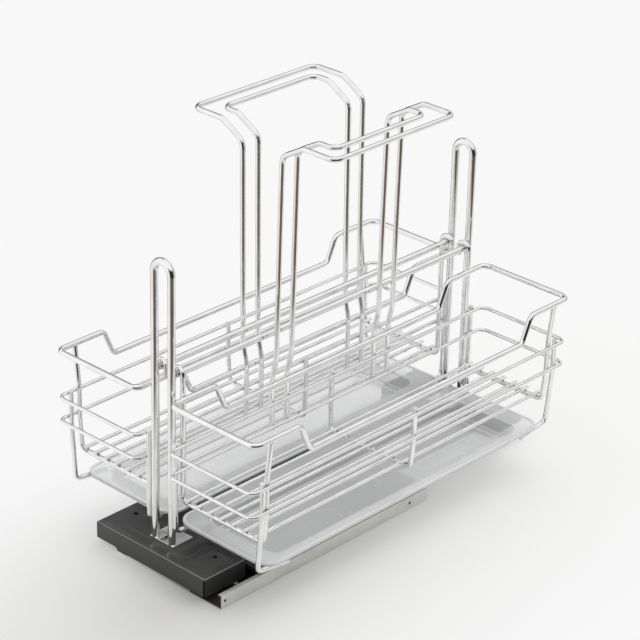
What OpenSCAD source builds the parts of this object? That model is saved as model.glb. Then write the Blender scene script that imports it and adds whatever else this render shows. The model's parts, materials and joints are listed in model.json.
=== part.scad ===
/*
  Pull out cabinet basket: a pair of wire baskets hung on a two post frame
  that rides out of a cupboard on two ball bearing slides.
  Millimetres. X is to the right, Y is to the back, Z is up.
  The origin is on the cupboard floor, midway between the posts.
*/

/* [Slides] */
// Length of each slide member
slide_len = 300; // [250:10:400]
// Width of each slide
slide_w = 44.5; // [40:0.5:50]
// Height of each slide lying flat
slide_h = 14.8; // [13:0.2:18]
// Sheet thickness of the outer slide channel
slide_wall = 1.5; // [1:0.1:2]
// Distance between the middles of the two slides
slide_pitch = 106; // [95:1:120]
// Sideways offset of the slide pair from the middle of the baskets
slide_shift = 29.25; // [0:0.25:30]
// How far the slides reach in front of the front post
slide_past = 20; // [15:1:20]
// How far the bare front edge of a slide stands forward
nose_len = 2.2; // [0.5:0.1:2.3]
// Width of that edge on the left slide
nose_w = 14.4; // [8:0.1:20]
// Ball diameter
ball_d = 3; // [2.5:0.1:3.4]
// Balls in each row
ball_count = 5; // [3:1:8]
// Distance between the balls of a row
ball_pitch = 18; // [12:0.5:20]
// Distance between the screw holes along a slide
screw_spacing = 220; // [160:5:240]
// Diameter of the screw holes in the slides
screw_hole_d = 4.6; // [4:0.1:5.5]

/* [Base blocks] */
// Width of each end block
block_w = 156.7; // [140:0.1:165]
// Depth of each end block
block_d = 56; // [45:0.5:70]
// Top of the end blocks above the floor
block_top = 23.3; // [22:0.1:30]
// Lower edge of the front skirt
skirt_low = 2.5; // [1:0.5:6]
// Sideways offset of the end blocks
block_shift = 3.35; // [0:0.05:5]
// Wall thickness of the end blocks
block_wall = 2.5; // [2:0.1:3]
// Thickness of the base plate
plate_t = 2; // [1.5:0.1:2.5]

/* [Posts and rods] */
// Distance between the front and the rear post
post_gap = 440; // [400:5:460]
// Distance between the legs of a post
post_w = 23.6; // [23.6:0.1:25]
// Post wire diameter
post_d = 8; // [7:0.1:8.2]
// Top of the post arch, at the middle of the wire
post_top = 330.4; // [320:0.5:360]
// Height of the hanging rods
rod_z = 212.7; // [205:0.1:225]
// Hanging rod diameter
rod_d = 7; // [6:0.1:7.2]
// Thickness of the foot plates
foot_plate_t = 1.2; // [1:0.1:2]

/* [Baskets] */
// Outer side of a basket, at the middle of the rim
basket_out = 139.5; // [130:0.5:150]
// How far the rims reach past the posts, at the middle of the rim
rim_past = 14.25; // [13:0.25:20]
// Shift of the baskets to the back
basket_shift = 0.65; // [0:0.05:1]
// Height of the rim
rim_z = 190.1; // [180:0.1:195]
// Height of the lowered rim on the long sides
low_z = 160.9; // [150:0.1:170]
// Height of the upper ring
ring_hi_z = 138.6; // [130:0.1:142]
// Height of the lower ring
ring_lo_z = 112.1; // [105:0.1:120]
// Height of the floor cross wires
floor_z = 73.6; // [70:0.1:80]
// Half length of the lowered rim
notch_half = 159.8; // [150:0.2:165]
// Length of the slope at each end of the lowered rim
notch_run = 13; // [8:0.5:20]
// Rim wire diameter
rim_d = 6; // [5:0.1:6.5]
// Ring and floor wire diameter
ring_d = 4; // [3:0.1:4.5]
// Frame, leg and handle wire diameter
wire_d = 5.5; // [5:0.1:6]
// Bend radius of the rim and ring corners
corner_r = 9; // [8:0.5:14]
// Floor wires in each basket
floor_count = 7; // [5:1:9]
// Distance between floor wires
floor_pitch = 15.8; // [12:0.1:15.8]
// First floor wire from the inner wall
floor_start = 9.4; // [9:0.1:14]
// Distance from the end frames to the posts
frame_gap = 8; // [8:0.5:12]
// How far the feet reach in
foot_len = 42; // [30:1:50]
// Height of the feet
foot_z = 42.3; // [38:0.1:45]
// How much lower the feet end
foot_drop = 5; // [0:0.5:8]

/* [Handles] */
// Height of the grips
grip_z = 424.6; // [415:0.1:440]
// Height where the handle legs bend out
bend_z = 408.6; // [395:0.1:412]
// Outer grip from the middle
grip_out = 95.7; // [90:0.1:105]
// Inner grip from the middle
grip_in = 75.6; // [68:0.1:80]
// Half length of the outer grip
grip_out_half = 86.45; // [80:0.05:95]
// Half length of the inner grip
grip_in_half = 64.9; // [55:0.1:70]
// Shift of the handles to the back
handle_shift = -0.8; // [-3:0.1:1]

/* [Trays] */
// Outer edge of a tray from the middle
tray_out = 134.6; // [134:0.1:136]
// Inner edge of a tray from the middle
tray_in = 4; // [3:0.5:8]
// Distance from the front edge of the trays to the front post
front_gap = 10.5; // [8:0.5:20]
// Distance from the rear edge of the trays to the rear post
back_gap = 7.5; // [7:0.5:20]
// Sheet thickness of a tray
tray_t = 1.6; // [1.2:0.1:2]
// Depth of the tray recess
tray_depth = 17; // [12:0.5:18]
// Height of the turned down lip on the outer side of a tray
tray_lip = 1.3; // [0.5:0.1:3]
// Width of the tray rim at the front
rim_front = 23.5; // [15:0.5:40]
// Width of the tray rim at the back
rim_back = 26; // [15:0.5:40]
// Width of the tray rim at the outer side
rim_side = 14.1; // [12:0.1:25]
// Radius of the tray corners
tray_r = 20; // [10:1:25]

/* [Hidden] */
$fn = 40;
air = 0.3;
bite = 0.1;
seam = 0.02;
waist = 0.05;
side_gap = ball_d + 0.3;
rail_in = slide_w / 2 - slide_wall;
mid_wall = 1.3;
mid_out = rail_in - side_gap;
run_out = mid_out - mid_wall - side_gap;
run_wall = 1.3;
ball_z = 8;
cage_z = slide_wall + air;
mid_z = cage_z + 0.5 + air;
deck_z = slide_h + air;
deck_top = deck_z + plate_t;
post_y = post_gap / 2;
slide_front = -post_y - slide_past;
slide_back = slide_front + slide_len;
slide_mid = (slide_front + slide_back) / 2;
post_x = post_w / 2;
arch_z = post_top - post_x;
block_y = post_y + 22.5 - block_d / 2;
inner_front = block_d / 2 - block_y + 1.5;
plate_top = block_top + foot_plate_t;
hook_r = post_d / 2 + wire_d / 2 + 0.1;
hook_z = rod_z + air + (rod_d + wire_d) / 2 - hook_r;
stem_x = post_x + hook_r;
ring_in_x = stem_x + (wire_d + ring_d) / 2 - bite;
rim_in_x = stem_x + (wire_d + rim_d) / 2 - bite;
ring_out_x = basket_out - 1.2;
post_out_x = ring_out_x - (wire_d + ring_d) / 2 + bite;
basket_half = post_y + rim_past;
frame_half = post_y - frame_gap;
ring_half = basket_half + 1.6;
lay_z = floor_z + (wire_d + ring_d) / 2 - bite;
tray_front = front_gap - post_y;
tray_back = post_y - back_gap;
tray_in_x = stem_x + wire_d / 2 + 5;
rest_at = frame_half + wire_d + basket_shift - tray_back;
tray_z = foot_z + wire_d / 2 - foot_drop * rest_at / foot_len + air;
kink_high = rim_z - 1;
kink_low = kink_high - 21;
handle_low = ring_lo_z - 5.3;

/* ---- wire tools ---- */

function unit(v) = v / norm(v);
function half_angle(a, p, b) = acos(max(-1, min(1, unit(a - p) * unit(b - p)))) / 2;
function reach(a, p, b, r) = r / tan(half_angle(a, p, b));

// A straight round wire between two points.
module bar(a, b, d) {
  v = b - a;
  if (norm(v) > 0.1)
    translate(a)
      rotate([0, acos(v.z / norm(v)), atan2(v.y, v.x)])
        cylinder(h = norm(v), d = d);
}

// A round bend at corner p, coming from a and going to b. A waist joins it to the straight wire at each end.
module bend(a, p, b, r, d) {
  half = half_angle(a, p, b);
  t = r / tan(half);
  c = p + unit(unit(a - p) + unit(b - p)) * r / sin(half);
  x = unit(p + unit(a - p) * t - c);
  z = unit(cross(x, p + unit(b - p) * t - c));
  y = cross(z, x);
  skip = asin(seam / r);
  multmatrix([[x.x, y.x, z.x, c.x], [x.y, y.y, z.y, c.y], [x.z, y.z, z.z, c.z], [0, 0, 0, 1]])
    rotate([0, 0, skip])
      rotate_extrude(angle = 180 - 2 * half - 2 * skip)
        translate([r, 0])
          circle(d = d);
  for (q = [a, b])
    bar(p + unit(q - p) * (t - 0.1), p + unit(q - p) * (t + 0.1), d - 2 * waist);
}

// A wire through the points p, bent with radius r[i] at point i.
module wire(p, r, d) {
  last = len(p) - 1;
  for (i = [0 : last - 1]) {
    u = unit(p[i + 1] - p[i]);
    head = i == 0 ? 0 : reach(p[i - 1], p[i], p[i + 1], r[i]) + seam;
    tail = i == last - 1 ? 0 : reach(p[i], p[i + 1], p[i + 2], r[i + 1]) + seam;
    bar(p[i] + u * head, p[i + 1] - u * tail, d);
  }
  for (i = [1 : last - 1])
    bend(p[i - 1], p[i], p[i + 1], r[i], d);
}

// A closed wire through the points p.
module hoop(p, r, d) {
  n = len(p);
  for (i = [0 : n - 1]) {
    a = p[(i + n - 1) % n];
    b = p[(i + 1) % n];
    c = p[(i + 2) % n];
    u = unit(b - p[i]);
    head = reach(a, p[i], b, r[i]) + seam;
    tail = reach(p[i], b, c, r[(i + 1) % n]) + seam;
    bar(p[i] + u * head, b - u * tail, d);
    bend(a, p[i], b, r[i], d);
  }
}

module right_or_left(side) {
  if (side > 0) children();
  else mirror([1, 0, 0]) children();
}

/* ---- slides ---- */

function slide_x(side) = slide_shift + side * slide_pitch / 2;

// A slide member drawn in section and run along the slide from y0 to y1.
module run(side, y0, y1) {
  translate([slide_x(side), y1, 0])
    rotate([90, 0, 0])
      linear_extrude(y1 - y0)
        children();
}

// The front edge stands forward where the front block leaves room: under its skirt and beside its right wall.
module rail(side) {
  w = slide_w / 2;
  lip = 4.7;
  color("#b9bdc0")
    difference() {
      union() {
        run(side, slide_front, slide_back)
          polygon([
            [-w, 0], [w, 0], [w, slide_h], [w - lip, slide_h], [w - lip, slide_h - slide_wall],
            [rail_in, slide_h - slide_wall], [rail_in, slide_wall], [-rail_in, slide_wall],
            [-rail_in, slide_h - slide_wall], [lip - w, slide_h - slide_wall],
            [lip - w, slide_h], [-w, slide_h]
          ]);
        run(side, slide_front - nose_len, slide_front + 1)
          if (side > 0)
            polygon([
              [-w, 0], [w, 0], [w, slide_h], [w - lip, slide_h], [w - lip, slide_h - slide_wall],
              [rail_in, slide_h - slide_wall], [rail_in, slide_wall], [-w, slide_wall]
            ]);
          else
            translate([-w, 0])
              square([nose_w, slide_wall]);
      }
      for (s = [-1, 1])
        translate([slide_x(side), slide_mid + s * screw_spacing / 2, -1])
          cylinder(h = slide_wall + 2, d = screw_hole_d);
      for (y = [slide_front + 3.2, slide_back - 27])
        translate([slide_x(side) + side * (w - slide_wall / 2), y, 7.6])
          rotate([0, 90, 0])
            cylinder(h = slide_wall + 1, d = 3.2, center = true);
    }
}

// The middle member and the runner start behind the front block, whose right wall hangs into the slide.
module mid_member(side) {
  w = mid_out;
  v = w - mid_wall;
  top = ball_z + 3.2;
  color("#9a9da0")
    run(side, inner_front, slide_back - 2)
      polygon([
        [-w, mid_z], [w, mid_z], [w, top], [v, top], [v, mid_z + mid_wall],
        [-v, mid_z + mid_wall], [-v, top], [-w, top]
      ]);
}

module runner(side) {
  w = run_out;
  v = w - run_wall;
  low = mid_z + mid_wall + 1.1;
  color("#9a9da0")
    run(side, inner_front, slide_back - 1)
      polygon([
        [-w, low], [-v, low], [-v, deck_z - slide_wall], [v, deck_z - slide_wall],
        [v, low], [w, low], [w, deck_z], [-w, deck_z]
      ]);
}

// The middle of a ball row: outside the middle member or inside it.
function row_x(inner) = inner ? run_out + side_gap / 2 : mid_out + side_gap / 2;
function row_y(inner) = inner ? (inner_front + slide_back) / 2 : slide_mid;
function ball_y(inner, i) = row_y(inner) + (i - (ball_count - 1) / 2) * ball_pitch;

module cages(inner) {
  x = row_x(inner);
  half = ball_count * ball_pitch / 2;
  z = inner ? mid_z + mid_wall + air : cage_z;
  color("#c9ccce")
    for (side = [-1, 1])
      difference() {
        run(side, row_y(inner) - half, row_y(inner) + half)
          polygon([
            [-x - 0.4, z], [x + 0.4, z], [x + 0.4, 10.6], [x - 0.4, 10.6],
            [x - 0.4, z + 0.5], [0.4 - x, z + 0.5], [0.4 - x, 10.6], [-x - 0.4, 10.6]
          ]);
        for (i = [0 : ball_count - 1])
          translate([slide_x(side), ball_y(inner, i), ball_z])
            rotate([0, 90, 0])
              cylinder(h = slide_w, d = ball_d + 0.1, center = true);
      }
}

module balls(inner) {
  color("#d9dcde")
    for (side = [-1, 1], s = [-1, 1], i = [0 : ball_count - 1])
      translate([slide_x(side) + s * row_x(inner), ball_y(inner, i), ball_z])
        sphere(d = ball_d);
}

/* ---- base ---- */

screw_at = [[-62, 16.2], [54, 15.4]];
function block_screw(i, s) = [block_shift + screw_at[i].x, s * (post_y - screw_at[i].y)];

module base_plate() {
  left = slide_x(-1) - slide_w / 2 + 2;
  right = slide_x(1) + slide_w / 2 - 4;
  end_left = block_shift - block_w / 2 + block_wall + 2;
  end_w = block_w - 2 * block_wall - 4;
  color("#222326")
    difference() {
      translate([0, 0, deck_z])
        linear_extrude(plate_t)
          union() {
            translate([left, inner_front])
              square([right - left, slide_back + 1 - inner_front]);
            translate([left, -block_y])
              square([end_left + end_w - left, inner_front + block_y]);
            translate([left, 0])
              square([60 - left, post_y + 15]);
            for (s = [-1, 1])
              translate([end_left, s * block_y - 22])
                square([end_w, 44]);
          }
      for (i = [0, 1], s = [-1, 1])
        translate([block_screw(i, s).x, block_screw(i, s).y, deck_z - 1])
          cylinder(h = plate_t + 2, d = 3.4);
    }
}

module end_block(s) {
  w = block_w / 2;
  d = block_d / 2;
  c = block_wall;
  low = deck_top + air;
  color("#1c1d20")
    translate([block_shift, s * block_y, 0])
      difference() {
        union() {
          difference() {
            translate([-w, -d, skirt_low])
              cube([block_w, block_d, block_top - skirt_low]);
            translate([c - w, c - d, skirt_low - 1])
              cube([block_w - 2 * c, block_d - 2 * c, block_top - c - skirt_low + 1]);
          }
          for (i = [0, 1])
            translate([screw_at[i].x, block_screw(i, s).y - s * block_y, deck_top])
              cylinder(h = block_top - deck_top - 1, d = 9);
        }
        // the inner wall clears the base plate
        translate([c - w, s > 0 ? -d - 1 : d - c - 1, -1])
          cube([block_w - 2 * c, c + 2, low + 1]);
        // the rear block passes over the slides
        if (s > 0)
          for (q = [-1, 1])
            translate([slide_x(q) - block_shift - slide_w / 2 - 1, -d - 1, -1])
              cube([slide_w + 2, block_d + 2, low + 1]);
        for (i = [0, 1])
          translate([screw_at[i].x, block_screw(i, s).y - s * block_y, 0]) {
            translate([0, 0, deck_top + 2])
              cylinder(h = block_top, d = 5.4);
            cylinder(h = block_top, d = 3.4);
          }
      }
}

module block_screws() {
  color("#8d9094")
    for (i = [0, 1], s = [-1, 1])
      translate([block_screw(i, s).x, block_screw(i, s).y, 0]) {
        translate([0, 0, deck_top + 2])
          cylinder(h = 1.6, d = 5);
        translate([0, 0, deck_z - 1])
          cylinder(h = plate_t + 3, d = 3.2);
      }
}

module foot_plate(s) {
  color("#d5d7d9")
    translate([-17, s > 0 ? post_y - 24.3 : -post_y - 3.5, block_top])
      cube([34, 27.8, foot_plate_t]);
}

/* ---- posts ---- */

module post(s) {
  color("#d5d7d9")
    wire([
      [-post_x, s * post_y, plate_top], [-post_x, s * post_y, post_top],
      [post_x, s * post_y, post_top], [post_x, s * post_y, plate_top]
    ], [0, post_x, post_x, 0], post_d);
}

module rod(side) {
  color("#d5d7d9")
    difference() {
      bar([side * post_x, -post_y, rod_z], [side * post_x, post_y, rod_z], rod_d);
      for (s = [-1, 1])
        translate([side * post_x, s * post_y, rod_z - 10])
          cylinder(h = 20, d = post_d);
    }
}

/* ---- baskets ---- */

// Both baskets are one design, and the left one is turned half round.
module basket_place(side) {
  color("#d5d7d9")
    translate([0, basket_shift, 0])
      rotate([0, 0, side > 0 ? 0 : 180])
        children();
}

module rim(side) {
  a = notch_half + notch_run;
  b = notch_half;
  h = basket_half;
  i = rim_in_x;
  o = basket_out;
  basket_place(side)
    hoop([
      [i, -h, rim_z], [i, -a, rim_z], [i, -b, low_z], [i, b, low_z], [i, a, rim_z], [i, h, rim_z],
      [o, h, rim_z], [o, a, rim_z], [o, b, low_z], [o, -b, low_z], [o, -a, rim_z], [o, -h, rim_z]
    ], [corner_r, 8, 8, 8, 8, corner_r, corner_r, 8, 8, 8, 8, corner_r], rim_d);
}

module rings(side) {
  h = ring_half;
  basket_place(side)
    for (z = [ring_hi_z, ring_lo_z])
      hoop([[ring_in_x, -h, z], [ring_in_x, h, z], [ring_out_x, h, z], [ring_out_x, -h, z]],
        [corner_r, corner_r, corner_r, corner_r], ring_d);
}

// An end frame: up the outer side, under the floor and over the hanging rod as a hook.
module end_frames(side) {
  top = hook_z + hook_r;
  basket_place(side)
    for (y = [-frame_half, frame_half])
      wire([
        [basket_out - 1, y, rim_z - rim_d / 2 + bite],
        [post_out_x, y, ring_hi_z + 4], [post_out_x, y, ring_lo_z - 4], [post_out_x - 3.2, y, floor_z],
        [stem_x, y, floor_z], [stem_x, y, top],
        [stem_x - 2 * hook_r, y, top], [stem_x - 2 * hook_r, y, hook_z - 9]
      ], [0, 20, 20, 7, 7, hook_r, hook_r, 0], wire_d);
}

module mid_frame(side) {
  basket_place(side)
    wire([
      [post_out_x, 0, ring_hi_z + 5], [post_out_x, 0, ring_lo_z - 4], [post_out_x - 3.2, 0, floor_z],
      [stem_x, 0, floor_z], [stem_x, 0, ring_hi_z + 5]
    ], [0, 20, 7, 7, 0], wire_d);
}

module floor_wires(side) {
  basket_place(side)
    for (i = [0 : floor_count - 1]) {
      x = stem_x + floor_start + i * floor_pitch;
      bar([x, -frame_half - 5, lay_z], [x, frame_half + 5, lay_z], ring_d);
    }
}

// Each leg is welded inside the outer wall or outside the inner wall, and turns in as a sloping foot.
module legs(side) {
  low = foot_z - foot_drop;
  basket_place(side)
    for (s = [-1, 1]) {
      y_out = s < 0 ? -frame_half - wire_d + 0.05 : frame_half + 11.3;
      y_in = s * (post_y + 2) - side * basket_shift;
      wire([
        [post_out_x, y_out, ring_hi_z + 4], [post_out_x, y_out, ring_lo_z - 6],
        [post_out_x - 5.2, y_out, foot_z], [post_out_x - 5.2, y_out - s * foot_len, low]
      ], [0, 20, 7, 0], wire_d);
      wire([
        [stem_x, y_in, ring_hi_z + 4], [stem_x, y_in, foot_z], [stem_x, y_in - s * foot_len, low]
      ], [0, 7, 0], wire_d);
    }
}

// One handle loop: both legs are welded to the inner wall and bend out to the grip.
module handle(side, grip_x, half) {
  out_x = stem_x + 8.25;
  kink = stem_x + 5;
  basket_place(side)
    translate([0, side * (handle_shift - basket_shift), 0])
      wire([
        [stem_x, -half, handle_low], [stem_x, -half, kink_low], [kink, -half, kink_high],
        [out_x, -half, bend_z], [out_x + 28.2, -half, grip_z], [grip_x, -half, grip_z],
        [grip_x, half, grip_z], [out_x + 28.2, half, grip_z], [out_x, half, bend_z],
        [kink, half, kink_high], [stem_x, half, kink_low], [stem_x, half, handle_low]
      ], [0, 12, 12, 14, 12, 10, 10, 12, 14, 12, 12, 0], wire_d);
}

/* ---- trays ---- */

module rounded(x0, x1, y0, y1, r) {
  translate([x0 + r, y0])
    square([x1 - x0 - 2 * r, y1 - y0]);
  translate([x0, y0 + r])
    square([x1 - x0, y1 - y0 - 2 * r]);
  for (x = [x0 + r, x1 - r], y = [y0 + r, y1 - r])
    translate([x, y])
      circle(r);
}

// The plan of a tray's basin, made smaller all round by inset.
module basin(inset) {
  front = tray_front + rim_front + inset;
  back = tray_back - rim_back - inset;
  rounded(tray_in_x + inset, tray_out - rim_side - inset, front, back, tray_r - 7 - inset);
}

module tray(side) {
  t = tray_t;
  low = tray_z - tray_depth;
  color("#eef0f0")
    right_or_left(side)
      difference() {
        union() {
          translate([0, 0, tray_z])
            linear_extrude(t)
              rounded(tray_in, tray_out, tray_front, tray_back, tray_r);
          translate([0, 0, low])
            linear_extrude(tray_depth + t)
              basin(0);
          translate([tray_out - t, tray_front + tray_r, tray_z - tray_lip])
            cube([t, tray_back - tray_front - 2 * tray_r, tray_lip + t]);
        }
        translate([0, 0, low + t])
          linear_extrude(tray_depth + t + 1)
            basin(t);
      }
}

rail(-1);  // rail_left
rail(1);  // rail_right
mid_member(-1);  // mid_left
mid_member(1);  // mid_right
runner(-1);  // runner_left
runner(1);  // runner_right
cages(false);  // outer_cages
balls(false);  // outer_balls
cages(true);  // inner_cages
balls(true);  // inner_balls
base_plate();
end_block(-1);  // front_block
end_block(1);  // rear_block
block_screws();
foot_plate(-1);  // front_foot_plate
foot_plate(1);  // rear_foot_plate
post(-1);  // front_post
post(1);  // rear_post
rod(-1);  // rod_left
rod(1);  // rod_right
rim(-1);  // rim_left
rings(-1);  // rings_left
end_frames(-1);  // end_frames_left
mid_frame(-1);  // mid_frame_left
floor_wires(-1);  // floor_wires_left
legs(-1);  // legs_left
handle(-1, grip_out, grip_out_half);  // handle_outer_left
handle(-1, grip_in, grip_in_half);  // handle_inner_left
rim(1);  // rim_right
rings(1);  // rings_right
end_frames(1);  // end_frames_right
mid_frame(1);  // mid_frame_right
floor_wires(1);  // floor_wires_right
legs(1);  // legs_right
handle(1, grip_out, grip_out_half);  // handle_outer_right
handle(1, grip_in, grip_in_half);  // handle_inner_right
tray(-1);  // tray_left
tray(1);  // tray_right
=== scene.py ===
# %% [markdown]
# # A pull out cabinet basket in Blender
# Two chrome wire baskets hang on a frame of posts and rods, over two drip trays, and the frame rides
# on a black base and two ball bearing slides. The metal parts come from the CAD model and get their
# finishes here. The moulded parts, the slides' channels and the weld marks are drawn again in more
# detail.

# %% Load the CAD frame
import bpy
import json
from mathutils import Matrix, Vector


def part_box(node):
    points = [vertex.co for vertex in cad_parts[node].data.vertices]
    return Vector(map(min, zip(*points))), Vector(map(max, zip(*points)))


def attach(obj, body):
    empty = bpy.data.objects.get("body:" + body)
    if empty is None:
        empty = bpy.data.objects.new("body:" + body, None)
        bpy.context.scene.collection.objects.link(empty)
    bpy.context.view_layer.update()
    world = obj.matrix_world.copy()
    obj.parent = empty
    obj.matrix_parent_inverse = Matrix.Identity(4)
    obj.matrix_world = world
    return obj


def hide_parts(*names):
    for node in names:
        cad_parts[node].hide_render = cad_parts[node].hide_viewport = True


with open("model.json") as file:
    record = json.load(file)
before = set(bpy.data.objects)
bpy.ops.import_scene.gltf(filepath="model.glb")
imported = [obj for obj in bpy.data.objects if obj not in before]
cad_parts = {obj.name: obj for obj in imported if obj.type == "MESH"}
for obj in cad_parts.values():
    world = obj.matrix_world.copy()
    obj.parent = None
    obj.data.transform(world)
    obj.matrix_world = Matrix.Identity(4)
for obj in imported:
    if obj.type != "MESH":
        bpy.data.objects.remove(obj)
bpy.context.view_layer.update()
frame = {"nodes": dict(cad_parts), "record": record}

# %% [markdown]
# ## The camera
# The photograph was taken with a long lens from above the front right corner. Three angles, a place
# and a focal length in pixels give the same view. Blender wants a lens in millimetres for the width
# of its sensor, and a matrix whose columns are the camera's right, its up and its back.

# %% Camera
import bpy, bmesh, json, math
from mathutils import Matrix, Vector

TURN, TILT, ROLL = (math.radians(v) for v in (42.882, 26.130, 1.4956))
CAMERA_PLACE = Vector((1.5876, -1.7087, 1.3386))
FOCAL_PIXELS = 2527.9
PHOTO_SIDE = 640
SENSOR_WIDTH = 36

ahead = Vector((-math.sin(TURN) * math.cos(TILT), math.cos(TURN) * math.cos(TILT), -math.sin(TILT)))
level = Vector((math.cos(TURN), math.sin(TURN), 0))
over = level.cross(ahead)
right = level * math.cos(ROLL) + over * math.sin(ROLL)
up = over * math.cos(ROLL) - level * math.sin(ROLL)
lens = bpy.data.cameras.new("photo_camera")
lens.sensor_fit = "HORIZONTAL"
lens.sensor_width = SENSOR_WIDTH
lens.lens = FOCAL_PIXELS * SENSOR_WIDTH / PHOTO_SIDE
lens.clip_end = 100
camera = bpy.data.objects.new("photo_camera", lens)
turned = Matrix((right, up, -ahead)).transposed().to_4x4()
camera.matrix_world = Matrix.Translation(CAMERA_PLACE) @ turned
bpy.context.scene.collection.objects.link(camera)
bpy.context.scene.camera = camera
bpy.context.scene.view_settings.view_transform = "Standard"
print("lens", round(lens.lens, 2), "mm")

# %% [markdown]
# ## Helpers for nodes
# A finish is a small tree of nodes. A socket takes either a plain value or a link from another node,
# so one helper feeds both, and a second adds a node and feeds its first sockets in order. With
# these, number and direction sums are one line each.

# %% Node helpers
def feed(tree, socket, value):
    if isinstance(value, bpy.types.NodeSocket):
        tree.links.new(value, socket)
    else:
        socket.default_value = value

def add_node(tree, kind, *values, **settings):
    node = tree.nodes.new(kind)
    for setting, value in settings.items():
        setattr(node, setting, value)
    for socket, value in zip(node.inputs, values):
        feed(tree, socket, value)
    return node

def maths(tree, operation, *values):
    return add_node(tree, "ShaderNodeMath", *values, operation=operation).outputs[0]

def vector_maths(tree, operation, *values):
    node = add_node(tree, "ShaderNodeVectorMath", *values, operation=operation)
    return node.outputs["Value" if operation in ("LENGTH", "DOT_PRODUCT") else "Vector"]

def stretched(tree, place, scale):
    node = add_node(tree, "ShaderNodeMapping", place)
    node.inputs["Scale"].default_value = scale
    return node.outputs["Vector"]

def spread(tree, value, low, high, start=0.35, end=0.65):
    return add_node(tree, "ShaderNodeMapRange", value, start, end, low, high).outputs["Result"]

print("node helpers ready")

# %% [markdown]
# ## Helpers for finishes
# Real surfaces are never one even colour. Each finish below is a recipe round one Principled shader:
# a cloudy noise spread over two tones, a second noise for the roughness and a third for a fine
# relief. The noises use the object's own coordinates in metres, so their scale is about the number
# of marks in a metre, and most of their values lie between 0.35 and 0.65.

# %% Finish helpers
def new_finish(title, **settings):
    finish = bpy.data.materials.new(title)
    finish.use_nodes = True
    tree = finish.node_tree
    shader = tree.nodes["Principled BSDF"]
    for socket, value in settings.items():
        shader.inputs[socket.replace("_", " ")].default_value = value
    place = tree.nodes.new("ShaderNodeTexCoord").outputs["Object"]
    return finish, tree, shader, place

def noise(tree, place, marks, detail):
    node = add_node(tree, "ShaderNodeTexNoise", place)
    node.inputs["Scale"].default_value = marks
    node.inputs["Detail"].default_value = detail
    return node.outputs["Fac"]

def tones(tree, value, dark, light, start=0.35, end=0.65):
    node = add_node(tree, "ShaderNodeValToRGB", value)
    for stop, place, colour in zip(node.color_ramp.elements, (start, end), (dark, light)):
        stop.position = place
        stop.color = (*colour, 1)
    return node.outputs["Color"]

def relief(tree, shader, value, strength, depth):
    node = tree.nodes.new("ShaderNodeBump")
    node.inputs["Strength"].default_value = strength
    node.inputs["Distance"].default_value = depth
    feed(tree, node.inputs["Height"], value)
    feed(tree, shader.inputs["Normal"], node.outputs["Normal"])

print("finish helpers ready")

# %% [markdown]
# ## Metal finishes
# The wires are bright chrome over drawn steel: almost a mirror, with a faint unevenness that bends
# its reflections. The slides are zinc plated sheet, duller, with the long marks of rolling. Both are
# full metals, so the base colour is the colour of the mirror and the roughness does the rest. Welds
# are small, and their darker, duller colour is painted shade where two wires cross.

# %% Chrome and zinc
ROLLED_MARKS, CLOUD_SHARE = (900, 12, 900), 0.55

def chrome_finish(title, dark, light, rough):
    finish, tree, shader, place = new_finish(title, Metallic=1.0)
    cloud = noise(tree, place, marks=60, detail=4)
    smears = noise(tree, place, marks=350, detail=5)
    ripples = noise(tree, place, marks=500, detail=2)
    feed(tree, shader.inputs["Base Color"], tones(tree, cloud, dark, light))
    feed(tree, shader.inputs["Roughness"], spread(tree, smears, *rough))
    relief(tree, shader, ripples, strength=0.06, depth=0.0001)
    return finish

def sheet_finish(title, dark, light, rough):
    finish, tree, shader, place = new_finish(title, Metallic=1.0)
    rolled = noise(tree, stretched(tree, place, ROLLED_MARKS), marks=1, detail=4)
    cloud = spread(tree, noise(tree, place, marks=45, detail=5), 0, CLOUD_SHARE, start=0, end=1)
    mixed = maths(tree, "MULTIPLY_ADD", rolled, 1 - CLOUD_SHARE, cloud)
    feed(tree, shader.inputs["Base Color"], tones(tree, mixed, dark, light))
    feed(tree, shader.inputs["Roughness"], spread(tree, mixed, *rough))
    relief(tree, shader, rolled, strength=0.2, depth=0.00006)
    return finish

chrome = chrome_finish("bright_chrome", (0.84, 0.84, 0.84), (0.92, 0.92, 0.915), (0.03, 0.08))
# Painted shade: the welds' dark colour stands in for the shade where two wires cross.
weld_steel = chrome_finish("weld_steel", (0.2, 0.19, 0.18), (0.42, 0.41, 0.4), (0.25, 0.4))
ball_steel = chrome_finish("ball_steel", (0.7, 0.7, 0.71), (0.8, 0.8, 0.8), (0.08, 0.16))
zinc = sheet_finish("zinc_plate", (0.74, 0.75, 0.71), (0.84, 0.85, 0.81), (0.32, 0.42))
slide_steel = sheet_finish("slide_steel", (0.36, 0.36, 0.36), (0.5, 0.5, 0.5), (0.3, 0.45))
# Painted shade: a dark steel for the faces inside the slide channels and the walls of their holes.
greased_steel = sheet_finish("greased_steel", (0.09, 0.08, 0.07), (0.16, 0.145, 0.13), (0.3, 0.45))
screw_steel = sheet_finish("blackened_screws", (0.03, 0.03, 0.03), (0.08, 0.078, 0.075), (0.35, 0.5))
print("metal finishes:", chrome.name, weld_steel.name, zinc.name, slide_steel.name, screw_steel.name)

# %% [markdown]
# ## Black finishes
# The end blocks are a glossy charcoal plastic with a fine moulded skin. Their rounded upper edge gets
# a paler finish of its own, a painted highlight for the light that it catches, and the inside of a
# joint that no light reaches gets one that is almost black, which is painted shade. The base plate is
# painted steel, a little rougher, with the soft orange peel of paint.

# %% Black plastic and black paint
SOFT_CLOUD = (0.3, 0.7)

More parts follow.
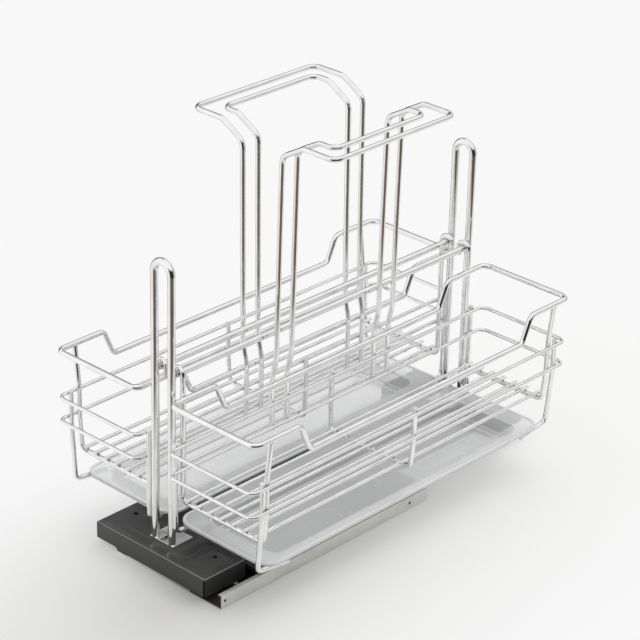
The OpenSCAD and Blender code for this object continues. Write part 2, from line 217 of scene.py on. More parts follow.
def black_finish(title, dark, light, rough, grain, depth):
    finish, tree, shader, place = new_finish(title, IOR=1.5)
    cloud = noise(tree, place, marks=22, detail=3)
    smears = noise(tree, place, marks=60, detail=3)
    skin_grain = noise(tree, place, marks=grain, detail=3)
    feed(tree, shader.inputs["Base Color"], tones(tree, cloud, dark, light, *SOFT_CLOUD))
    feed(tree, shader.inputs["Roughness"], spread(tree, smears, *rough))
    relief(tree, shader, skin_grain, strength=0.12, depth=depth)
    return finish

black_plastic = black_finish(
    "black_moulding", (0.06, 0.059, 0.057), (0.066, 0.065, 0.063), (0.2, 0.24), 1400, 0.00003)
black_paint = black_finish(
    "black_paint", (0.016, 0.016, 0.017), (0.022, 0.022, 0.023), (0.35, 0.45), 900, 0.0001)
# Painted highlight: a paler black for the rounded upper edge, standing in for the light that it
# catches.
edge_highlight_paint = black_finish(
    "polished_edge", (0.26, 0.26, 0.26), (0.32, 0.32, 0.32), (0.25, 0.35), 1400, 0.00002)
# Painted shade: a near black for the inside of the groove, where no light reaches.
gap_shade_paint = black_finish(
    "deep_gap", (0.002, 0.002, 0.002), (0.004, 0.004, 0.004), (0.7, 0.8), 1400, 0.00002)
print("black finishes:", black_plastic.name, black_paint.name, edge_highlight_paint.name, gap_shade_paint.name)

# %% [markdown]
# ## The trays' plastic
# The trays are a thin milky plastic. Like a sheet of tracing paper, it shows what touches it and
# veils what is behind it. Alpha, the share of light that the sheet stops, does this more quietly
# than glass would: each of the sheet's two faces stops its share, and what lies below still shows
# sharply. Light also runs along inside such a sheet and leaves it at the bends, so these look whiter
# and get a finish that stops more.

# %% Milky plastic
SHEET_COVER, BEND_COVER = 0.48, 0.8
MILK_TONES, MILK_ROUGH = ((0.94, 0.95, 0.957), (0.97, 0.976, 0.978)), (0.2, 0.28)

def milky_finish(title, cover):
    finish, tree, shader, place = new_finish(title, IOR=1.45, Alpha=cover)
    cloud = noise(tree, place, marks=14, detail=2)
    smears = noise(tree, place, marks=60, detail=3)
    ripples = noise(tree, place, marks=700, detail=2)
    feed(tree, shader.inputs["Base Color"], tones(tree, cloud, *MILK_TONES, *SOFT_CLOUD))
    feed(tree, shader.inputs["Roughness"], spread(tree, smears, *MILK_ROUGH))
    relief(tree, shader, ripples, strength=0.05, depth=0.00005)
    return finish

milky_plastic = milky_finish("milky_plastic", SHEET_COVER)
milky_bend = milky_finish("milky_bend", BEND_COVER)
print(milky_plastic.name, "covers", round(1 - (1 - SHEET_COVER) ** 2, 2), "of what lies behind")

# %% [markdown]
# ## Dress the CAD parts
# Each CAD node names a material slot in the record. A table from slot to finish dresses them all.

# %% Dress the nodes
FINISH_OF_SLOT = {
    "chrome": chrome, "zinc": zinc, "slide_steel": slide_steel, "ball_steel": ball_steel,
    "screw_steel": screw_steel, "black_metal": black_paint, "black_plastic": black_plastic,
    "tray_plastic": milky_plastic,
}
for part in frame["record"]["subparts"]:
    mesh = frame["nodes"][part["node"]].data
    mesh.materials.clear()
    mesh.materials.append(FINISH_OF_SLOT[part["material_slot"]])

# %% [markdown]
# ## The floor
# A wide pale floor fills the view. It keeps the object's shadow near the object, and for the camera
# and for mirrors it fades to a plain white glow, painted light that washes the shadow out. The fade
# begins in front of the base, where the photograph's shadow is deepest, and it is quick to the sides
# and slow along the slides. The paper ends about half a metre from the object for mirrors only:
# beyond that they see the room, which the next cells make.

# %% Floor
PAPER_TONES = ((0.846, 0.84, 0.828), (0.858, 0.853, 0.842))
PAPER_END = (0.38, 0.56)
PAPER_FADE = (0.01, 0.46)
FADE_MIDDLE = (0.075, -0.25, 0)
FADE_STRETCH = (1.45, 0.42, 1)
PLAIN_WHITE = (0.94, 0.94, 0.94)
FLOOR_RADIUS, FLOOR_SIDES, FLOOR_DROP = 40, 96, 0.0004

def join_shaders(tree, share, first, second):
    return add_node(tree, "ShaderNodeMixShader", share, first, second).outputs[0]

def seen_directly(tree, path):
    return maths(tree, "MAXIMUM", path["Is Camera Ray"], path["Is Transmission Ray"])

def floor_finish():
    finish, tree, shader, place = new_finish("floor_paper", Roughness=0.9, Specular_IOR_Level=0.1)
    cloud = noise(tree, place, marks=6, detail=3)
    feed(tree, shader.inputs["Base Color"], tones(tree, cloud, *PAPER_TONES, *SOFT_CLOUD))
    path = tree.nodes.new("ShaderNodeLightPath").outputs
    looks = maths(tree, "MAXIMUM", seen_directly(tree, path), path["Is Glossy Ray"])
    from_middle = vector_maths(tree, "SUBTRACT", place, FADE_MIDDLE)
    fade_way = vector_maths(tree, "LENGTH", stretched(tree, from_middle, FADE_STRETCH))
    # Painted light: a white glow mixed in by stretched distance, which fades the shadow out sooner to
    # the sides.
    faded = maths(tree, "MULTIPLY", looks, spread(tree, fade_way, 0, 1, *PAPER_FADE))
    white = add_node(tree, "ShaderNodeEmission", (*PLAIN_WHITE, 1)).outputs[0]
    paper = join_shaders(tree, faded, shader.outputs[0], white)
    away = spread(tree, vector_maths(tree, "LENGTH", place), 0, 1, *PAPER_END)
    beyond = maths(tree, "MULTIPLY", path["Is Glossy Ray"], away)
    nothing = tree.nodes.new("ShaderNodeBsdfTransparent").outputs[0]
    surface = tree.nodes["Material Output"].inputs["Surface"]
    feed(tree, surface, join_shaders(tree, beyond, paper, nothing))
    return finish

def studio_floor():
    sheet = bpy.data.meshes.new("studio_floor")
    shape = bmesh.new()
    bmesh.ops.create_circle(shape, cap_ends=True, segments=FLOOR_SIDES, radius=FLOOR_RADIUS)
    shape.to_mesh(sheet)
    shape.free()
    floor = bpy.data.objects.new("studio_floor", sheet)
    floor.location.z = -FLOOR_DROP
    bpy.context.scene.collection.objects.link(floor)
    sheet.materials.append(floor_finish())

studio_floor()
print("paper floor fades to white between", PAPER_FADE, "stretched metres")

# %% [markdown]
# ## The room that mirrors see
# Mirrors need something to show. For reflections only, the room has a bright side and a dimmer side
# above the table, and a white ceiling, which makes the upper half of the long wires lighter than the
# lower. Two wide dark doorways, opposite each other, draw one dark line down each upright wire. A
# small dark corner high up draws the thin upper line on the wires that cross the picture. Each pair
# of numbers says where a change begins and ends: for a doorway in degrees from its middle, for all
# else as the dot product with a direction, which is 1 straight ahead and 0 to the side.

# %% Mirrored room
BRIGHT_SIDE, SIDE_EDGE = (-0.68, -0.73, 0.0), (-0.5, 0.4)
DIM_WALL, BRIGHT_WALL = (0.6, 0.6, 0.6), (1, 1, 1)
UPWARD = (0, 0, 1)
CEILING_EDGE, CEILING_WHITE = (0.36, 0.6), (0.97, 0.97, 0.97)
TABLE_EDGE, TABLE_WHITE = (-0.42, -0.3), (0.9, 0.9, 0.89)
DOORWAYS = ((-27, (62, 42)), (153, (35, 18)))
DOOR_TOP = (0.3, 0.5)
DARK_CORNER, CORNER_EDGE, CORNER_DEPTH = (-0.611, 0.331, 0.717), (0.96, 0.985), 0.75
SHADE_LOW, SHADE_HIGH = (0.15, 0.12, 0.095), (0.03, 0.027, 0.025)

def mixed_colours(tree, share, first, second):
    node = add_node(tree, "ShaderNodeMix", share, data_type="RGBA")
    for socket, value in ((node.inputs[6], first), (node.inputs[7], second)):
        feed(tree, socket, (*value, 1) if isinstance(value, tuple) else value)
    return node.outputs[2]

def towards(tree, way, direction, edge, low=0, high=1):
    share = vector_maths(tree, "DOT_PRODUCT", way, direction)
    return spread(tree, share, low, high, *edge)

def mirror_room(tree, way):
    sides = tones(tree, towards(tree, way, BRIGHT_SIDE, SIDE_EDGE), DIM_WALL, BRIGHT_WALL, 0, 1)
    overhead = towards(tree, way, UPWARD, CEILING_EDGE)
    upper = mixed_colours(tree, overhead, sides, CEILING_WHITE)
    above = towards(tree, way, UPWARD, TABLE_EDGE)
    walls = mixed_colours(tree, above, TABLE_WHITE, upper)
    level_way = vector_maths(tree, "NORMALIZE", stretched(tree, way, (1, 1, 0)))
    below_top = towards(tree, way, UPWARD, DOOR_TOP, 1, 0)
    dark = towards(tree, way, DARK_CORNER, CORNER_EDGE, 0, CORNER_DEPTH)
    for middle, edge in DOORWAYS:
        facing = (math.cos(math.radians(middle)), math.sin(math.radians(middle)), 0)
        doorway = towards(tree, level_way, facing, [math.cos(math.radians(v)) for v in edge])
        dark = maths(tree, "MAXIMUM", dark, maths(tree, "MULTIPLY", doorway, below_top))
    shade = mixed_colours(tree, above, SHADE_LOW, SHADE_HIGH)
    return mixed_colours(tree, dark, walls, shade)

print("mirrored room has", len(DOORWAYS), "doorways")

# %% [markdown]
# ## The world
# Three kinds of light rays see three worlds. Mirrors see the room above. The camera sees plain white,
# also through glass. All else gets one soft light, strongest overhead and behind.

# %% World
SOFT_SIDE, SOFT_EDGE = (-0.08, 0.5, 0.86), (-0.2, 1.0)
SOFT_LOW, SOFT_HIGH = 0.285, 0.95

def studio_world():
    world = bpy.data.worlds.new("studio")
    bpy.context.scene.world = world
    world.use_nodes = True
    tree = world.node_tree
    tree.nodes.clear()
    path = tree.nodes.new("ShaderNodeLightPath").outputs
    way = tree.nodes.new("ShaderNodeTexCoord").outputs["Generated"]
    soft = towards(tree, way, SOFT_SIDE, SOFT_EDGE, SOFT_LOW, SOFT_HIGH)
    mirrored = add_node(tree, "ShaderNodeBackground", mirror_room(tree, way)).outputs[0]
    light = add_node(tree, "ShaderNodeBackground", (1, 1, 1, 1), soft).outputs[0]
    plain = add_node(tree, "ShaderNodeBackground", (*PLAIN_WHITE, 1)).outputs[0]
    lit = join_shaders(tree, path["Is Glossy Ray"], light, mirrored)
    final = join_shaders(tree, seen_directly(tree, path), lit, plain)
    feed(tree, tree.nodes.new("ShaderNodeOutputWorld").inputs["Surface"], final)

studio_world()
print("soft light between", SOFT_LOW, "and", SOFT_HIGH)

# %% [markdown]
# ## The lamp
# One large square lamp behind the object, to the left, gives the short soft shadow in front of the
# base. It is hidden from mirrors, which would show it as a white square on every wire.

# %% Lamp
LAMP_PLACE, LAMP_AIM = (-0.5, 1.7, 2.2), (0, 0, 0.05)
LAMP_SIDE, LAMP_WATTS = 2.2, 36

lamp = bpy.data.lights.new("ceiling_lamp", "AREA")
lamp.shape = "SQUARE"
lamp.size = LAMP_SIDE
lamp.energy = LAMP_WATTS
holder = bpy.data.objects.new("ceiling_lamp", lamp)
holder.location = LAMP_PLACE
holder.rotation_euler = (Vector(LAMP_AIM) - Vector(LAMP_PLACE)).to_track_quat("-Z", "Y").to_euler()
holder.visible_glossy = False
bpy.context.scene.collection.objects.link(holder)
print("lamp of", LAMP_WATTS, "W,", LAMP_SIDE, "m wide")

# %% [markdown]
# ## A helper for moulded and pressed parts
# Trays and covers are stacks of outlines at different heights. One helper makes an outline like a
# rounded rectangle, in millimetres, another skins a list of outlines, like a membrane stretched over
# hoops, and a third puts the finished piece on the body that it rides on and smooths its shading,
# except where two faces meet at more than the given angle.

# %% Outlines and skins
CORNER_STEPS = 10

def outline(x0, x1, y0, y1, radius, z):
    points = []
    for cx, cy, turn in ((x1, y0, -90), (x1, y1, 0), (x0, y1, 90), (x0, y0, 180)):
        mx = cx - radius if cx == x1 else cx + radius
        my = cy - radius if cy == y1 else cy + radius
        for i in range(CORNER_STEPS + 1):
            a = math.radians(turn + 90 * i / CORNER_STEPS)
            points.append(Vector((mx + radius * math.cos(a), my + radius * math.sin(a), z)) / 1000)
    return points

def mesh_from(shape, title):
    mesh = bpy.data.meshes.new(title)
    shape.to_mesh(mesh)
    shape.free()
    return mesh

def skin(title, outlines):
    shape = bmesh.new()
    rows = [[shape.verts.new(p) for p in row] for row in outlines]
    for low, high in zip(rows, rows[1:]):
        n = len(low)
        for i in range(n):
            shape.faces.new((low[i], low[(i + 1) % n], high[(i + 1) % n], high[i]))
    shape.faces.new(rows[-1])
    bmesh.ops.recalc_face_normals(shape, faces=shape.faces)
    return mesh_from(shape, title)

def place_part(title, mesh, finishes, body, replaced=(), smooth_angle=35):
    for finish in finishes:
        mesh.materials.append(finish)
    part = bpy.data.objects.new(title, mesh)
    bpy.context.scene.collection.objects.link(part)
    for face in mesh.polygons:
        face.use_smooth = True
    mesh.set_sharp_from_angle(angle=math.radians(smooth_angle))
    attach(part, body)
    if replaced:
        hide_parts(*replaced)
    return part

print("an outline has", 4 * (CORNER_STEPS + 1), "points")

# %% [markdown]
# ## The drip trays
# A tray is drawn from one thin sheet: a flat rim with a small turned down edge, then a basin with
# rounded corners and a shallow step round its floor. Real trays are pressed or moulded the same way,
# so the table follows that order from the outer edge to the middle of the floor. Each row has the
# box that it follows, how far inside of it the row lies (below zero is outside), its corner radius,
# its height, and whether a bend begins there. A Solidify modifier gives the sheet its thickness.

# %% Trays
FLANGE = (4.0, 134.6, -209.5, 212.5)
BASIN = (26.4, 120.5, -186.0, 186.5)
TRAY_TOP, TRAY_SHEET, TRAY_DEPTH = 46.28, 1.6, 17.0
TRAY_FLOOR = TRAY_TOP - TRAY_DEPTH
BEND, FLAT = 1, 0
TRAY_ROWS = (
    (FLANGE, 0.0, 20, TRAY_TOP - 2.9, BEND),
    (FLANGE, 0.0, 20, TRAY_TOP - 0.9, BEND),
    (FLANGE, 0.3, 19.7, TRAY_TOP - 0.3, BEND),
    (FLANGE, 0.9, 19.1, TRAY_TOP, BEND),
    (FLANGE, 3.2, 16.8, TRAY_TOP, FLAT),
    (FLANGE, 4.0, 16, TRAY_TOP - 0.5, FLAT),
    (FLANGE, 6, 14, TRAY_TOP - 0.6, FLAT),
    (BASIN, -2.2, 15.2, TRAY_TOP - 0.6, BEND),
    (BASIN, -0.9, 13.9, TRAY_TOP - 1.0, BEND),
    (BASIN, 0.0, 13, TRAY_TOP - 2.2, FLAT),
    (BASIN, 0.9, 12.1, TRAY_FLOOR + 3.4, FLAT),
    (BASIN, 1.8, 11.2, TRAY_FLOOR + 1.4, BEND),
    (BASIN, 3.6, 9.4, TRAY_FLOOR + 0.5, FLAT),
    (BASIN, 8.5, 8, TRAY_FLOOR + 0.5, BEND),
    (BASIN, 9.3, 7.5, TRAY_FLOOR + 0.9, FLAT),
    (BASIN, 10.2, 7, TRAY_FLOOR + 0.9, BEND),
    (BASIN, 11.4, 6, TRAY_FLOOR, FLAT),
    (BASIN, 30, 3, TRAY_FLOOR, FLAT),
)

def tray_outline(box, inset, radius, z):
    return outline(box[0] + inset, box[1] - inset, box[2] + inset, box[3] - inset, radius, z)

def tray(side):
    name = "tray_left" if side < 0 else "tray_right"
    rows = [tray_outline(*row) for *row, _ in TRAY_ROWS]
    if side < 0:
        rows = [[Vector((-p.x, p.y, p.z)) for p in row] for row in rows]
    mesh = skin("moulded_" + name, rows)
    finishes = (milky_plastic, milky_bend)
    part = place_part("moulded_" + name, mesh, finishes, "drip_" + name, [name],
                      smooth_angle=60)
    for face in mesh.polygons:
        face.material_index = TRAY_ROWS[face.index // len(rows[0])][-1]
    up_side = sum(face.normal.z * face.area for face in mesh.polygons)
    thick = part.modifiers.new("sheet", "SOLIDIFY")
    thick.thickness = TRAY_SHEET / 1000
    thick.offset = -1 if up_side > 0 else 1
    return part

for side in (-1, 1):
    made = tray(side)
    print(made.name, len(made.data.vertices), "points")

# %% [markdown]
# ## Softened edges
# Sheet steel and cut wire have no knife edges: shears and tumbling round them a little. The shape of
# such a part is already right in the CAD model, so the piece starts from the CAD part's own mesh:
# its flat facets are merged, and a Bevel modifier rounds what is left sharp.

# %% Softened copies
SAME_POINT, SAME_PLANE, SHARP = 1e-6, math.radians(0.5), math.radians(40)
SOFT_EDGES = (
    ("channel_left", "rail_left", 0.35), ("channel_right", "rail_right", 0.35),
    ("plate_of_front_post", "front_foot_plate", 0.3), ("plate_of_rear_post", "rear_foot_plate", 0.3),
    ("feet_left", "legs_left", 0.9), ("feet_right", "legs_right", 0.9),
)

def body_of(node):
    bodies = frame["record"]["behaviour"]["bodies"]
    return next(name for name, nodes in bodies.items() if node in nodes)

def slot_of(node):
    parts = frame["record"]["subparts"]
    return next(part["material_slot"] for part in parts if part["node"] == node)

def softened(title, node, width):
    shape = bmesh.new()
    shape.from_mesh(frame["nodes"][node].data)
    bmesh.ops.remove_doubles(shape, verts=shape.verts, dist=SAME_POINT)
    bmesh.ops.dissolve_limit(shape, angle_limit=SAME_PLANE, verts=shape.verts, edges=shape.edges)
    mesh, slot = mesh_from(shape, title), slot_of(node)
    part = place_part(title, mesh, [FINISH_OF_SLOT[slot]], body_of(node), [node])
    edge = part.modifiers.new("soft_edge", "BEVEL")
    edge.width = width / 1000
    edge.segments = 2
    edge.limit_method = "ANGLE"
    edge.angle_limit = SHARP
    return part

for title, node, width in SOFT_EDGES:
    made = softened(title, node, width)
    print(made.name, "edges rounded by", width, "mm")

# %% [markdown]
# ## The inside of the channels
# The faces that look into the channel, and the walls of its side holes, are coloured dark: painted
# shade for the inside of the channel, where little light gets in. The outside stays bright. A face is
# found by where its middle lies.

# %% Paint shade into the channels
CHANNEL_WALL, CHANNEL_LEVELS, CHANNEL_END = 0.0013, (0.0012, 0.0136), 0.0005
HOLE_SKIN, HOLE_LEVELS, SIDEWAYS = 0.0002, (0.0055, 0.0098), 0.8

def is_in_channel_shade(face, low, high):
    x, y, z = face.center
    half = (high[0] - low[0]) / 2
    from_middle = abs(x - (low[0] + high[0]) / 2)
    in_channel = from_middle < half - CHANNEL_WALL and CHANNEL_LEVELS[0] < z < CHANNEL_LEVELS[1]
    in_hole = from_middle < half - HOLE_SKIN and HOLE_LEVELS[0] < z < HOLE_LEVELS[1]
    return in_channel and y > low[1] + CHANNEL_END or in_hole and abs(face.normal.x) < SIDEWAYS

for node, title in (("rail_left", "channel_left"), ("rail_right", "channel_right")):
    low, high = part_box(node)
    mesh = bpy.data.objects[title].data
    mesh.materials.append(greased_steel)
    shaded = [face for face in mesh.polygons if is_in_channel_shade(face, low, high)]
    for face in shaded:
        face.material_index = 1
    print(title, len(shaded), "greased faces")

# %% [markdown]
# ## The top of the end blocks
# Each end of the base is closed by a moulded plastic cover. Its top isn't flat: a raised field
# carries the post, a shallow valley runs behind the front edge, and round the right screw lies an
# island of its own. Such a top is easiest as a fine grid of points whose height is worked out from
# how far each point lies inside the raised outlines. All sizes here are in millimetres.

# %% The relief of a cover
BLOCK_LOW, BLOCK_HIGH = (Vector(corner) * 1000 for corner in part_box("front_block"))
BLOCK_TOP = BLOCK_HIGH.z
VALLEY_DEPTH, ISLAND_SHARE = 1.5, 0.8
FIELD_SLOPE, ISLAND_SLOPE, FRONT_SLOPE, SIDE_SLOPE = (-2.6, 2.2), (-1.8, 1.4), (1, 12), (1.5, 5)
FIELD = [(-90, -226.5), (20, -225.9), (31, -226), (39.5, -222.7), (42.5, -214.5), (40.2, -207),
         (36, -199), (35.6, -193), (39, -188.6), (60, -187.4), (82, -189), (90, -189), (90, -170),
         (-90, -170)]
ISLAND = [(46, -195), (58, -193.6), (72, -194.5), (75, -197), (75.5, -212), (73, -220.5),
          (66, -223.6), (56, -223), (47.5, -218.6), (44.2, -207)]

def depth_inside(x, y, corners):
    nearest, inside = 1e9, False
    for (ax, ay), (bx, by) in zip(corners, corners[1:] + corners[:1]):
        long = (bx - ax) ** 2 + (by - ay) ** 2
        along = min(1, max(0, ((x - ax) * (bx - ax) + (y - ay) * (by - ay)) / long))
        nearest = min(nearest, math.hypot(x - ax - along * (bx - ax), y - ay - along * (by - ay)))
        if (ay > y) != (by > y) and x < (bx - ax) * (y - ay) / (by - ay) + ax:
            inside = not inside
    return nearest if inside else -nearest

def eased(value, low, high):
    t = min(1, max(0, (value - low) / (high - low)))
    return t * t * (3 - 2 * t)

def cover_height(x, y):
    field = eased(depth_inside(x, y, FIELD), *FIELD_SLOPE)
    island = ISLAND_SHARE * eased(depth_inside(x, y, ISLAND), *ISLAND_SLOPE)
    rim = 1 - eased(y - BLOCK_LOW.y, *FRONT_SLOPE)
    side = 1 - eased(BLOCK_HIGH.x - x, *SIDE_SLOPE)
    return BLOCK_TOP - VALLEY_DEPTH * (1 - max(field, island, rim, side))

print("cover top in the valley", round(cover_height(60, -190.5), 2), "mm, at the front edge",
      round(cover_height(0, -240), 2), "mm")

# %% [markdown]
# ## The walls of a cover
# The walls are rings of points that hang from the border of that grid: down the outside, under the
# lower edge and up the inside. Each ring is the border pushed out or in. A narrow groove by the
# right front corner is where the real cover's front strip ends, and left of a step the lower edge is
# raised, so that light gets under it.

# %% Walls
WALL, EDGE, NEAR = 2.5, 0.6, 0.01
LEFT, RIGHT = BLOCK_LOW.x + EDGE, BLOCK_HIGH.x - EDGE
FRONT, BACK = BLOCK_LOW.y + EDGE, BLOCK_HIGH.y - EDGE
GROOVE, GROOVE_DEPTH, GROOVE_LEVELS = (1.3, 0.3), 2.0, (2.0, 2.1)
SKIRT_STEP, SKIRT_LIFT = -44.5, 2.5
RINGS = (
    (EDGE * 0.7, BLOCK_TOP - EDGE * 0.3, False), (EDGE, BLOCK_TOP - EDGE, False),
    (EDGE, BLOCK_TOP - GROOVE_LEVELS[0], False), (EDGE, BLOCK_TOP - GROOVE_LEVELS[1], True),
    (EDGE, BLOCK_LOW.z, True), (EDGE - WALL, BLOCK_LOW.z, False),
    (EDGE - WALL, BLOCK_TOP - WALL, False),
)
ROUNDED_STEPS, GROOVE_STEP = (0, 1), 4

def at(value, place):
    return abs(value - place) < NEAR

def pushed(value, low, high, grow):
    value += grow if at(value, high) else -grow if at(value, low) else 0
    return min(high + grow, max(low - grow, value))

def ring(shape, border, grow, z, grooved):
    points = []
    for p in border:
        x, y = pushed(p.x, LEFT, RIGHT, grow), pushed(p.y, FRONT, BACK, grow)
        if grooved and at(p.y, FRONT) and any(at(p.x, RIGHT - inset) for inset in GROOVE):
            y += GROOVE_DEPTH
        lift = SKIRT_LIFT if z == BLOCK_LOW.z and p.x < SKIRT_STEP else 0
        points.append(shape.verts.new((x, y, z + lift)))
    return points

print(len(RINGS), "rings hang from the grid, the lowest at", round(BLOCK_LOW.z, 2), "mm")

# %% [markdown]
# ## The grid and its border
# The grid is finer on the right, where the relief is. Where the cover rounds over, its faces get the
# paler edge finish, a painted highlight, and the inside of the groove gets a near black, painted
# shade.

# %% Cover mesh
GRID, COARSE_GRID, FINE_FROM = 0.9, 3.0, 16
GRID_END, RIGHT_STRIPS = 2.6, (1.8, *GROOVE, 0)
HIGHLIGHT_FINISH, SHADE_FINISH = 1, 2

def spaced(low, high, fine_from, coarse):
    marks = [low]
    while marks[-1] < high - GRID / 3:
        marks.append(min(high, marks[-1] + (GRID if marks[-1] >= fine_from else coarse)))
    return marks

def around(grid):
    ends = grid[0][:-1] + [row[-1] for row in grid[:-1]]
    return ends + grid[-1][:0:-1] + [row[0] for row in grid[:0:-1]]

def cover_mesh(title):
    xs = spaced(LEFT, RIGHT - GRID_END, FINE_FROM, COARSE_GRID)
    xs += [RIGHT - inset for inset in RIGHT_STRIPS]
    ys = spaced(FRONT, BACK, FRONT, GRID)
    shape = bmesh.new()
    top = [[shape.verts.new((x, y, cover_height(x, y))) for x in xs] for y in ys]
    for low, high in zip(top, top[1:]):
        for i in range(len(xs) - 1):
            shape.faces.new((low[i], low[i + 1], high[i + 1], high[i]))
    border = [v.co.copy() for v in around(top)]
    rows = [around(top)] + [ring(shape, border, *setting) for setting in RINGS]
    for step, (high, low) in enumerate(zip(rows, rows[1:])):
        for i in range(len(high)):
            k = (i + 1) % len(high)
            face = shape.faces.new((high[i], low[i], low[k], high[k]))
            at_front = at(border[i].y, FRONT) and at(border[k].y, FRONT)
            deep = max(high[i].co.y, high[k].co.y) > BLOCK_LOW.y + GROOVE_DEPTH / 2
            # Painted light: the rounded rows get the painted highlight, the groove's inside gets the
            # painted shade.
            if step in ROUNDED_STEPS:
                face.material_index = HIGHLIGHT_FINISH
            elif step == GROOVE_STEP and at_front and deep:
                face.material_index = SHADE_FINISH
    shape.faces.new(rows[-1])
    bmesh.ops.recalc_face_normals(shape, faces=shape.faces)
    for vertex in shape.verts:
        vertex.co /= 1000
    return mesh_from(shape, title)

print("the grid's points are", GRID, "mm apart")

# %% [markdown]
# ## Holes and notches
# The screw holes, the room for the base plate and the notches over the slides are cut with Boolean
# modifiers, because they cross the grid at any angle. Each hole then gets a boss, the hollow pillar
# that a screw pulls down in a moulded cover.

# %% Cutting tools
ROUND = 36

def cutter(title, boxes=(), bores=()):
    shape = bmesh.new()
    for x0, x1, y0, y1, z0, z1 in boxes:
        middle = Vector((x0 + x1, y0 + y1, z0 + z1)) / 2000
        size = Matrix.Diagonal(((x1 - x0) / 1000, (y1 - y0) / 1000, (z1 - z0) / 1000, 1))
        bmesh.ops.create_cube(shape, size=1, matrix=Matrix.Translation(middle) @ size)
    for x, y, z0, z1, across in bores:
        middle = Matrix.Translation(Vector((x, y, (z0 + z1) / 2)) / 1000)
        bmesh.ops.create_cone(shape, cap_ends=True, segments=ROUND, radius1=across / 2000,
                              radius2=across / 2000, depth=(z1 - z0) / 1000, matrix=middle)
    return bpy.data.objects.new(title, mesh_from(shape, title))

def carved(mesh, tools):
    block = bpy.data.objects.new("block_blank", mesh)
    for each in (block, *tools):
        bpy.context.scene.collection.objects.link(each)
    for tool in tools:
        cut = block.modifiers.new(tool.name, "BOOLEAN")
        cut.operation = "DIFFERENCE"
        cut.solver = "EXACT"
        cut.object = tool
    bpy.context.view_layer.update()
    seen = block.evaluated_get(bpy.context.evaluated_depsgraph_get())
    result = bpy.data.meshes.new_from_object(seen)
    for each in (block, *tools):
        bpy.data.objects.remove(each)
    return result

def boss(shape, x, y, low, high, outer, inner):
    turns = [2 * math.pi * k / ROUND for k in range(ROUND)]
    rings = []
    for radius, z in ((outer, high), (outer, low), (inner, low), (inner, high)):
        places = [(x + radius * math.cos(a), y + radius * math.sin(a), z) for a in turns]
        rings.append([shape.verts.new(Vector(place) / 1000) for place in places])
    for first, second in zip(rings, rings[1:] + rings[:1]):
        for k in range(ROUND):
            n = (k + 1) % ROUND
            shape.faces.new((first[k], second[k], second[n], first[n]))

print("round cuts have", ROUND, "sides")

# %% [markdown]
# ## Front and rear cover
# Both covers come from one mould, so one function makes them; the rear one is its mirror image. The
# rear cover also has notches over both slides, and both have an open inner wall, where the base
# plate runs in. The cutting boxes stick out past the cover, because a Boolean is unsure of faces
# that lie in one plane.

# %% Place the covers
DECK_TOP, DECK_ROOM = 17.1, 0.3
SLIDES, SLIDE_WIDTH, SLIDE_ROOM = (-23.75, 82.25), 44.5, 1
HOLES, HOLE_SIZE, BORE_LEVELS = ((-58.65, -203.8), (57.35, -204.6)), 5.4, (12, 30)
BOSS_RADIUS, BOSS_BELOW_TOP, OVERCUT = 4.5, 2, 1

def cover_tools(rear):
    roof = DECK_TOP + DECK_ROOM
    tools = [cutter("hole_tool", bores=[(x, y, *BORE_LEVELS, HOLE_SIZE) for x, y in HOLES])]
    inner = (BLOCK_LOW.x + WALL, BLOCK_HIGH.x - WALL,
             BLOCK_HIGH.y - WALL - 0.2, BLOCK_HIGH.y + OVERCUT, -OVERCUT, roof)
    tools.append(cutter("inner_tool", boxes=[inner]))
    half = SLIDE_WIDTH / 2 + SLIDE_ROOM
    for k, x in enumerate(SLIDES if rear else ()):
        notch = (x - half, x + half, BLOCK_LOW.y - OVERCUT, BLOCK_HIGH.y + 2 * OVERCUT,
                 -1.5 * OVERCUT, roof)
        tools.append(cutter(f"notch_tool_{k}", boxes=[notch]))
    return tools

def cover(node, rear):
    mesh = cover_mesh("moulded_" + node)
    for finish in (black_plastic, edge_highlight_paint, gap_shade_paint):
        mesh.materials.append(finish)
    mesh = carved(mesh, cover_tools(rear))
    shape = bmesh.new()
    shape.from_mesh(mesh)
    for x, y in HOLES:
        boss(shape, x, y, DECK_TOP, BLOCK_TOP - BOSS_BELOW_TOP, BOSS_RADIUS, HOLE_SIZE / 2)
    if rear:
        for vertex in shape.verts:
            vertex.co.y = -vertex.co.y
    bmesh.ops.recalc_face_normals(shape, faces=shape.faces)
    shape.to_mesh(mesh)
    shape.free()
    return place_part("moulded_" + node, mesh, (), "carriage", [node],
                      smooth_angle=50)

for node, rear in (("front_block", False), ("rear_block", True)):
    made = cover(node, rear)
    print(made.name, len(made.data.polygons), "faces")

# %% [markdown]
# ## Welds
# Every crossing of two wires is a resistance weld: the wires are pressed together and a current
# melts a small pad between them. Each pad is a flattened drop, a little different from the next, so
# the drops share one seeded random source and the result is the same each time. A short list of the
# lines where wires cross gives all the places of the right basket, in millimetres from the middle;
# the left basket is the same one turned round.

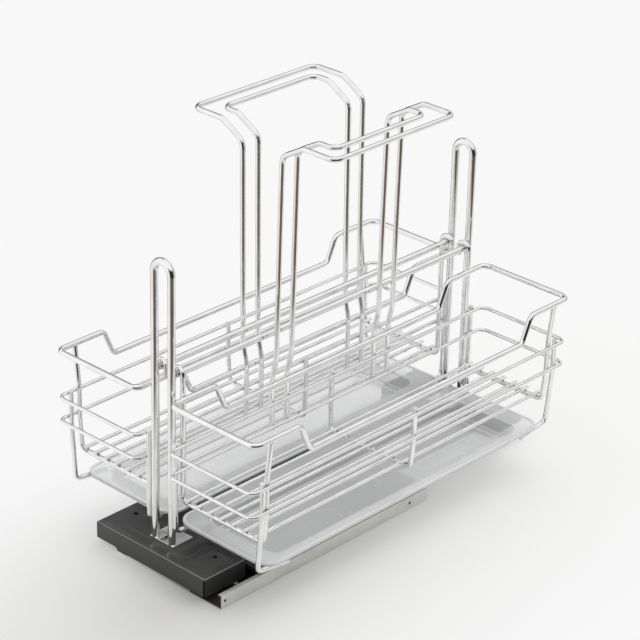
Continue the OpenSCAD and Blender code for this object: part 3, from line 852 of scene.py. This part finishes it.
# %% Weld places
HALF_FRAME, HALF_RING, HALF_RIM = 2.75, 2, 3
INNER_X, OUTER_X, RIM_X = 18.65 + HALF_FRAME, 138.3 - HALF_RING, 138.8
RIM_HIGH, RING_LEVELS, FLOOR_LEVEL = 190.1, (138.6, 112.1), 76.3
END_FRAMES, FRAMES, OUTER_LEGS = (-212.0, 212.0), (-212.0, 0, 212.0), (-217.45, 223.3)
BASKET_SHIFT, INNER_LEG = 0.65, 222.0
GRIPS, GRIP_SHIFT = (86.45, 64.9), -0.8
FLOOR_WIRES, FIRST_WIRE, WIRE_STEP = 7, 28.05, 15.8

def weld_places(side):
    inner_legs = [s * INNER_LEG - side * BASKET_SHIFT for s in (-1, 1)]
    handles = [s * half + side * (GRIP_SHIFT - BASKET_SHIFT) for half in GRIPS for s in (-1, 1)]
    places = []
    for z in RING_LEVELS:
        places += [(OUTER_X, y, z, "x") for y in (*FRAMES, *OUTER_LEGS)]
        places += [(INNER_X, y, z, "x") for y in (*FRAMES, *inner_legs, *handles)]
    places += [(INNER_X, y, RIM_HIGH, "x") for y in END_FRAMES]
    places += [(RIM_X, y, RIM_HIGH - HALF_RIM, "z") for y in END_FRAMES]
    for k in range(FLOOR_WIRES):
        places += [(FIRST_WIRE + WIRE_STEP * k, y, FLOOR_LEVEL, "z") for y in FRAMES]
    return places

print(len(weld_places(1)), "weld places for each basket")

# %% [markdown]
# ## Weld drops
# A drop starts as a ball of 1 mm radius that is stretched along the two wires and flattened where
# they press. It leans a little, and each of its points moves a little in or out.

# %% Weld drops
import random

WIDE, THIN, LEAN, UNEVEN = (1.9, 2.3), (1.3, 1.6), 0.2, (0.92, 1.06)

def weld_drops(side):
    name = "left" if side < 0 else "right"
    chance = random.Random(7 + side)
    shape = bmesh.new()
    for x, y, z, flat in weld_places(side):
        wide, thin = chance.uniform(*WIDE), chance.uniform(*THIN)
        size = (thin, wide, wide) if flat == "x" else (wide, wide, thin)
        lean = Matrix.Rotation(chance.uniform(-LEAN, LEAN), 4, "X") @ Matrix.Diagonal((*size, 1))
        spot = Vector((side * x, side * y + BASKET_SHIFT, z)) / 1000
        drop = bmesh.ops.create_icosphere(shape, subdivisions=2, radius=0.001,
                                          matrix=Matrix.Translation(spot) @ lean)
        for vertex in drop["verts"]:
            vertex.co = spot + (vertex.co - spot) * chance.uniform(*UNEVEN)
    mesh = mesh_from(shape, "welds_" + name)
    return place_part("welds_" + name, mesh, [weld_steel], "basket_" + name)

for side in (-1, 1):
    made = weld_drops(side)
    print(made.name, len(made.data.vertices), "points")
